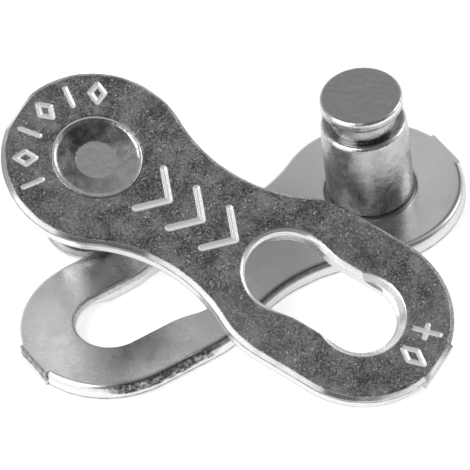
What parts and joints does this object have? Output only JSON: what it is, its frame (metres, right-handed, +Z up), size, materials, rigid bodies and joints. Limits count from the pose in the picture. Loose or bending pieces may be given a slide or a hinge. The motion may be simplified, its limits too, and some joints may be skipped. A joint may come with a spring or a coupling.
{
  "type": "chain connecting link",
  "caption": "Two-part connecting link for a bicycle roller chain: matching keyholed outer plates, each with a riveted grooved pin, lying crossed.",
  "frame": {"origin": "on the ground under the lower half, on the flat outer face of its plate, halfway from its pin's axis to the centre of its slot's narrow end", "axes": "+Z up, along the lower pin's axis from its plate to its free end; +X along the lower plate, from its pin towards its keyhole"},
  "size_m": [0.0204, 0.018, 0.0078],
  "materials": {
    "plate_steel": "punched plated steel, tumbled, with a fine speckle",
    "pin_steel": "turned and ground steel, satin"
  },
  "bodies": {
    "root": {"lower_plate": "plate_steel", "lower_pin": "pin_steel", "upper_plate": "plate_steel", "upper_pin": "pin_steel"}
  },
  "joints": []
}
